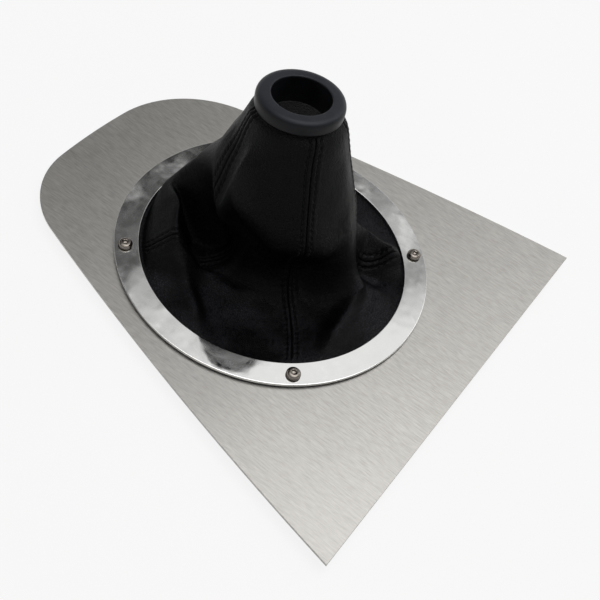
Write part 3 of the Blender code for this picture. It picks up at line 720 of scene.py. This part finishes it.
def build_fixings(stainless, zinc):
    """A screw, a washer and a locking nut at each corner, each turned as it was tightened."""
    thin = 0.0001
    low = -WASHER_THICKNESS
    washer = rounded([(HOLE_DIAMETER / 2, low, thin), (WASHER_DIAMETER / 2, low, thin),
                      (WASHER_DIAMETER / 2, 0.0, thin), (HOLE_DIAMETER / 2, 0.0, thin)], 2)
    for corner, place, turn in zip(CORNERS, screw_places(), SCREW_HEAD_TURNS):
        for kind, (points, quads), height, material, slot in (
                ("screw", button_head_screw(turn), HEAD_SEAT_Z, stainless, "stainless_screws"),
                ("washer", turned(washer, 48), WASHER_TOP_Z, zinc, "zinc_fixings"),
                ("nut", locking_nut(turn + 0.4), NUT_TOP_Z, zinc, "zinc_fixings")):
            mesh = mesh_from(kind, points + place + (0.0, 0.0, height), quads)
            node = "%s_%s" % (kind, corner)
            dress("fixing_" + node, mesh, material, node, sharp=28)


def colour(text):
    """A linear colour from an sRGB hex value."""
    channels = [int(text[k:k + 2], 16) / 255 for k in (1, 3, 5)]
    return (*[c / 12.92 if c <= 0.04045 else ((c + 0.055) / 1.055) ** 2.4 for c in channels], 1.0)


def feed(tree, node, inputs):
    """Gives a node its inputs; each is a value, or an output of another node."""
    for name, value in inputs.items():
        if isinstance(value, bpy.types.NodeSocket):
            tree.links.new(value, node.inputs[name])
        else:
            node.inputs[name].default_value = value


def add(tree, kind, settings=None, inputs=None):
    """A node with its settings and inputs."""
    node = tree.nodes.new("ShaderNode" + kind)
    for name, value in (settings or {}).items():
        setattr(node, name, value)
    feed(tree, node, inputs or {})
    return node


def finish(name):
    """An empty material: its node tree, its shader and its Object coordinates."""
    material = bpy.data.materials.new(name)
    material.use_nodes = True
    tree = material.node_tree
    return material, tree, tree.nodes["Principled BSDF"], add(tree, "TexCoord").outputs["Object"]


def brushed_steel():
    """Cold-rolled stainless sheet, brushed lengthways with about 180 grit: soft streaks a
    fraction of a millimetre wide and some millimetres long, and a satin glow across them."""
    material, tree, shader, place = finish("brushed_stainless_sheet")
    # Streaks: 0.4 and 0.7 mm wide, 4 and 9 mm long, along Y; drawn coarser than the grit
    fine = add(tree, "Mapping", {}, {"Vector": place, "Scale": (1 / 0.0004, 1 / 0.004, 1 / 0.01)})
    broad = add(tree, "Mapping", {}, {"Vector": place, "Scale": (1 / 0.0007, 1 / 0.009, 1 / 0.01)})
    thin = add(tree, "TexNoise", {}, {"Vector": fine.outputs[0], "Scale": 1.0, "Detail": 3.0})
    wide = add(tree, "TexNoise", {}, {"Vector": broad.outputs[0], "Scale": 1.0, "Detail": 2.0})
    both = add(tree, "Math", {"operation": "ADD"}, {0: thin.outputs[0], 1: wide.outputs[0]})
    clouds = add(tree, "TexNoise", {}, {"Vector": place, "Scale": 1 / 0.05, "Detail": 2.0})
    tone = add(tree, "MapRange", {}, {"Value": both.outputs[0], "From Min": 0.7, "From Max": 1.3})
    shade = add(tree, "Mix", {"data_type": "RGBA"},
                {"Factor": tone.outputs[0], 6: colour("#9c9a96"), 7: colour("#b4b2ae")})
    rough = add(tree, "MapRange", {}, {"Value": both.outputs[0], "From Min": 0.6, "From Max": 1.4,
                                      "To Min": 0.36, "To Max": 0.44})
    uneven = add(tree, "Math", {"operation": "MULTIPLY_ADD"},
                 {0: clouds.outputs[0], 1: 0.08, 2: rough.outputs[0]})
    bump = add(tree, "Bump", {}, {"Height": both.outputs[0], "Strength": 0.3, "Distance": 0.00002})
    across = add(tree, "Tangent", {"direction_type": "UV_MAP", "uv_map": "brushing"})
    feed(tree, shader, {"Base Color": shade.outputs[2], "Metallic": 1.0, "Anisotropic": 0.55,
                        "Roughness": uneven.outputs[0], "Normal": bump.outputs[0],
                        "Tangent": across.outputs[0]})
    return material


def polished_steel():
    """Stainless steel buffed to a mirror: faint waviness from the buffing wheel, and hazy
    patches and hairlines from wiping."""
    material, tree, shader, place = finish("mirror_polished_stainless")
    waviness = add(tree, "TexNoise", {}, {"Vector": place, "Scale": 1 / 0.025, "Detail": 2.0})
    haze = add(tree, "TexNoise", {}, {"Vector": place, "Scale": 1 / 0.006, "Detail": 5.0})
    rough = add(tree, "MapRange", {}, {"Value": haze.outputs[0], "From Min": 0.35, "From Max": 0.7,
                                      "To Min": 0.035, "To Max": 0.12})
    bump = add(tree, "Bump", {},
               {"Height": waviness.outputs[0], "Strength": 1.0, "Distance": 0.00018})
    tone = add(tree, "Mix", {"data_type": "RGBA"},
               {"Factor": haze.outputs[0], 6: colour("#dcdcda"), 7: colour("#e6e6e5")})
    feed(tree, shader, {"Base Color": tone.outputs[2], "Metallic": 1.0,
                        "Roughness": rough.outputs[0], "Normal": bump.outputs[0]})
    return material


def upward_share(tree):
    """How far the surface faces up: 1 for level ground, 0 for a wall."""
    facing = add(tree, "NewGeometry").outputs["Normal"]
    return add(tree, "SeparateXYZ", {}, {0: facing}).outputs["Z"]


def black_leather():
    """Pigmented cowhide with a fine embossed pebble grain: near black with a cool tint, and a
    satin gloss that the grain breaks up."""
    material, tree, shader, place = finish("black_pebbled_leather")
    # Pebbles of 1.1 mm, bent out of true by a 4 mm noise, and pores of 0.3 mm
    warp = add(tree, "TexNoise", {}, {"Vector": place, "Scale": 1 / 0.004, "Detail": 2.0})
    shift = add(tree, "VectorMath", {"operation": "MULTIPLY_ADD"},
                {0: warp.outputs["Color"], 1: (0.0012, 0.0012, 0.0012), 2: place})
    pebbles = add(tree, "TexVoronoi", {"feature": "DISTANCE_TO_EDGE"},
                  {"Vector": shift.outputs[0], "Scale": 1 / 0.0011})
    tops = add(tree, "MapRange", {"interpolation_type": "SMOOTHSTEP"},
               {"Value": pebbles.outputs["Distance"], "From Min": 0.0, "From Max": 0.28})
    pores = add(tree, "TexNoise", {}, {"Vector": place, "Scale": 1 / 0.0003, "Detail": 2.0})
    relief = add(tree, "Math", {"operation": "MULTIPLY_ADD"},
                 {0: pores.outputs[0], 1: 0.25, 2: tops.outputs[0]})
    wear_and_light_patches = add(tree, "TexNoise", {}, {"Vector": place, "Scale": 1 / 0.02, "Detail": 3.0})
    rough = add(tree, "MapRange", {}, {"Value": wear_and_light_patches.outputs[0], "From Min": 0.3, "From Max": 0.7,
                                      "To Min": 0.34, "To Max": 0.47})
    tone = add(tree, "Mix", {"data_type": "RGBA"},
               {"Factor": relief.outputs[0], 6: colour("#020203"), 7: colour("#060608")})
    # Painted top light: the pebbles that face up are lightened to grey, in random patches
    faces_up = add(tree, "MapRange", {"interpolation_type": "SMOOTHSTEP"},
                {"Value": upward_share(tree), "From Min": 0.70, "From Max": 1.0})
    patches = add(tree, "MapRange", {},
                  {"Value": wear_and_light_patches.outputs[0], "From Min": 0.38, "From Max": 0.65})
    painted_light_patches = add(tree, "Math", {"operation": "MULTIPLY"},
                {0: faces_up.outputs[0], 1: patches.outputs[0]})
    painted_top_light = add(tree, "Math", {"operation": "MULTIPLY"}, {0: painted_light_patches.outputs[0], 1: relief.outputs[0]})
    top_lit_tone = add(tree, "Mix", {"data_type": "RGBA"},
                 {"Factor": painted_top_light.outputs[0], 6: tone.outputs[2], 7: colour("#2a2a2e")})
    bump = add(tree, "Bump", {},
               {"Height": relief.outputs[0], "Strength": 0.8, "Distance": 0.00018})
    feed(tree, shader, {"Base Color": top_lit_tone.outputs[2], "Roughness": rough.outputs[0],
                        "Specular IOR Level": 0.075, "Normal": bump.outputs[0]})
    return material


def sewing_thread():
    """Black bonded nylon thread: three plies laid in a twist, with a dull silky gloss."""
    material, tree, shader, place = finish("black_bonded_thread")
    plies = add(tree, "TexNoise", {}, {"Vector": place, "Scale": 1 / 0.0002, "Detail": 1.0})
    tone = add(tree, "Mix", {"data_type": "RGBA"},
               {"Factor": plies.outputs[0], 6: colour("#040405"), 7: colour("#0c0c0e")})
    bump = add(tree, "Bump", {}, {"Height": plies.outputs[0], "Strength": 0.6, "Distance": 0.00005})
    feed(tree, shader, {"Base Color": tone.outputs[2], "Roughness": 0.55,
                        "Specular IOR Level": 0.12, "Normal": bump.outputs[0]})
    return material


def moulded_plastic():
    """Moulded polypropylene with a fine spark-eroded texture: matte charcoal, made lighter on
    the faces that point up by painted top light, and in random clouds."""
    material, tree, shader, place = finish("charcoal_moulded_plastic")
    texture = add(tree, "TexNoise", {}, {"Vector": place, "Scale": 1 / 0.0004, "Detail": 3.0})
    cloud = add(tree, "TexNoise", {}, {"Vector": place, "Scale": 1 / 0.009, "Detail": 3.0})
    # Painted top light: faces that point up are made lighter
    painted_collar_light = add(tree, "MapRange", {"interpolation_type": "SMOOTHSTEP"},
                 {"Value": upward_share(tree), "From Min": 0.45, "From Max": 0.98, "To Max": 0.8})
    cloud_and_painted_light = add(tree, "Math", {"operation": "MULTIPLY_ADD"},
                  {0: cloud.outputs[0], 1: 0.3, 2: painted_collar_light.outputs[0]})
    tone = add(tree, "Mix", {"data_type": "RGBA"},
               {"Factor": cloud_and_painted_light.outputs[0], 6: colour("#060709"), 7: colour("#2e3036")})
    rough = add(tree, "MapRange", {}, {"Value": cloud.outputs[0], "From Min": 0.3, "From Max": 0.7,
                                      "To Min": 0.34, "To Max": 0.44})
    bump = add(tree, "Bump", {},
               {"Height": texture.outputs[0], "Strength": 0.5, "Distance": 0.00004})
    feed(tree, shader, {"Base Color": tone.outputs[2], "Roughness": rough.outputs[0],
                        "Specular IOR Level": 0.16, "Normal": bump.outputs[0]})
    return material


def stainless_steel():
    """Cold-headed stainless steel: bright, with the faint marks of the header die."""
    material, tree, shader, place = finish("headed_stainless")
    marks = add(tree, "TexNoise", {}, {"Vector": place, "Scale": 1 / 0.0006, "Detail": 4.0})
    rough = add(tree, "MapRange", {}, {"Value": marks.outputs[0], "From Min": 0.3, "From Max": 0.7,
                                      "To Min": 0.16, "To Max": 0.30})
    tone = add(tree, "Mix", {"data_type": "RGBA"},
               {"Factor": marks.outputs[0], 6: colour("#6b655f"), 7: colour("#8a847d")})
    bump = add(tree, "Bump", {}, {"Height": marks.outputs[0], "Strength": 0.3, "Distance": 0.00003})
    feed(tree, shader, {"Base Color": tone.outputs[2], "Metallic": 1.0,
                        "Roughness": rough.outputs[0], "Normal": bump.outputs[0]})
    return material


def zinc_plate():
    """Bright zinc plating over steel: bluish white with faint yellow passivation stains."""
    material, tree, shader, place = finish("bright_zinc_plating")
    stains = add(tree, "TexNoise", {}, {"Vector": place, "Scale": 1 / 0.003, "Detail": 3.0})
    tone = add(tree, "Mix", {"data_type": "RGBA"},
               {"Factor": stains.outputs[0], 6: colour("#bfc6cb"), 7: colour("#cfcbb8")})
    rough = add(tree, "MapRange", {}, {"Value": stains.outputs[0], "From Min": 0.3, "From Max": 0.7,
                                      "To Min": 0.25, "To Max": 0.4})
    feed(tree, shader, {"Base Color": tone.outputs[2], "Metallic": 1.0,
                        "Roughness": rough.outputs[0]})
    return material


def seen_directly(tree):
    """1 for what the camera, a gloss or a glass shows, and 0 for the light on the object."""
    path = add(tree, "LightPath")
    mirrored = add(tree, "Math", {"operation": "MAXIMUM"},
                   {0: path.outputs["Is Glossy Ray"], 1: path.outputs["Is Transmission Ray"]})
    return add(tree, "Math", {"operation": "MAXIMUM"},
               {0: path.outputs["Is Camera Ray"], 1: mirrored.outputs[0]}).outputs[0]


def build_floor():
    """A white floor that keeps the object's shadow and is lifted to white where it is seen."""
    half = FLOOR_SIZE / 2
    corners = [(-half, -half, 0.0), (half, -half, 0.0), (half, half, 0.0), (-half, half, 0.0)]
    mesh = bpy.data.meshes.new("floor")
    mesh.from_pydata(corners, [], [(0, 1, 2, 3)])
    floor = bpy.data.objects.new("floor", mesh)
    material, tree, shader, place = finish("white_painted_floor")
    mottle = add(tree, "TexNoise", {}, {"Vector": place, "Scale": 1 / 0.3, "Detail": 2.0})
    tone = add(tree, "Mix", {"data_type": "RGBA"},
               {"Factor": mottle.outputs[0], 6: colour("#ececec"), 7: colour("#f2f2f2")})
    feed(tree, shader, {"Base Color": tone.outputs[2], "Roughness": 0.9, "Specular IOR Level": 0.0})
    white = add(tree, "Emission", {}, {"Color": (1.0, 1.0, 1.0, 1.0), "Strength": 1.0})
    part = add(tree, "Math", {"operation": "MULTIPLY"},
               {0: seen_directly(tree), 1: FLOOR_WHITENESS})
    both = add(tree, "MixShader", {},
               {0: part.outputs[0], 1: shader.outputs[0], 2: white.outputs[0]})
    tree.links.new(both.outputs[0], tree.nodes["Material Output"].inputs["Surface"])
    mesh.materials.append(material)
    bpy.context.scene.collection.objects.link(floor)


def room_brightness(tree):
    """How bright the background is in each direction: white behind the object, and higher up
    a white soft box, a grey ceiling round it with light flecks, and one dim side with a
    ruffled edge."""
    direction = add(tree, "TexCoord").outputs["Generated"]
    height = add(tree, "SeparateXYZ", {}, {0: direction}).outputs["Z"]
    ruffle = add(tree, "TexNoise", {}, {"Vector": direction, "Scale": 9.0, "Detail": 4.0})
    turned_to = add(tree, "VectorMath", {"operation": "DOT_PRODUCT"},
                    {0: direction, 1: (cos(DIM_SIDE), sin(DIM_SIDE), 0.0)})
    edge = add(tree, "Math", {"operation": "MULTIPLY_ADD"},
               {0: ruffle.outputs[0], 1: 0.35, 2: turned_to.outputs["Value"]})
    dim = add(tree, "MapRange", {"interpolation_type": "SMOOTHSTEP"},
              {"Value": edge.outputs[0], "From Min": 0.57, "From Max": 0.68,
               "To Min": 1.0, "To Max": 0.12})
    lift = add(tree, "Math", {"operation": "MULTIPLY_ADD"},
               {0: ruffle.outputs[0], 1: 0.16, 2: height})
    above = add(tree, "MapRange", {"interpolation_type": "SMOOTHSTEP"},
                {"Value": lift.outputs[0], "From Min": 0.805, "From Max": 0.86, "To Min": 0.38})
    speckle = add(tree, "TexNoise", {}, {"Vector": direction, "Scale": 26.0, "Detail": 3.0})
    flecks = add(tree, "MapRange", {"interpolation_type": "SMOOTHSTEP"},
                 {"Value": speckle.outputs[0], "From Min": 0.50, "From Max": 0.64, "To Max": 0.45})
    product = add(tree, "Math", {"operation": "MULTIPLY"},
                  {0: dim.outputs[0], 1: above.outputs[0]})
    ceiling = add(tree, "Math", {"operation": "ADD", "use_clamp": True},
                  {0: product.outputs[0], 1: flecks.outputs[0]})
    behind = add(tree, "MapRange", {"interpolation_type": "SMOOTHSTEP"},
                 {"Value": height, "From Min": 0.20, "From Max": 0.42,
                  "To Min": 1.0, "To Max": 0.0})
    return add(tree, "Mix", {},
               {"Factor": behind.outputs[0], 2: ceiling.outputs[0], 3: 1.0}).outputs[0]


def build_light():
    """A background that the metals show too, an even light, and two soft lamps."""
    world = bpy.data.worlds.new("studio")
    world.use_nodes = True
    tree = world.node_tree
    white = (1.0, 1.0, 1.0, 1.0)
    lit = tree.nodes["Background"]
    lit.inputs["Color"].default_value = white
    lit.inputs["Strength"].default_value = EVEN_LIGHT
    shown = add(tree, "Background", {}, {"Color": white, "Strength": room_brightness(tree)})
    both = add(tree, "MixShader", {},
               {0: seen_directly(tree), 1: lit.outputs[0], 2: shown.outputs[0]})
    tree.links.new(both.outputs[0], tree.nodes["World Output"].inputs["Surface"])
    bpy.context.scene.world = world
    for name, place, size, energy in LAMPS:
        data = bpy.data.lights.new(name, "AREA")
        data.energy = energy
        data.size = size
        lamp = bpy.data.objects.new(name, data)
        lamp.location = place
        lamp.rotation_euler = (-Vector(place)).to_track_quat("-Z", "Y").to_euler()
        bpy.context.scene.collection.objects.link(lamp)


def build_camera():
    data = bpy.data.cameras.new("camera")
    data.sensor_width = 36.0
    data.lens = CAMERA_LENS
    camera = bpy.data.objects.new("camera", data)
    camera.location = CAMERA_PLACE
    camera.rotation_euler = [radians(angle) for angle in CAMERA_TURN]
    bpy.context.scene.collection.objects.link(camera)
    bpy.context.scene.camera = camera


bpy.context.scene.view_settings.view_transform = "Standard"
build_camera()
build_light()
build_floor()
build_plate(brushed_steel())
build_ring(polished_steel())
leather = black_leather()
thread = sewing_thread()
for panel in range(4):
    build_panel(panel, leather)
for seam in range(4):
    build_stitches(seam, thread)
build_collar(moulded_plastic())
build_fixings(stainless_steel(), zinc_plate())
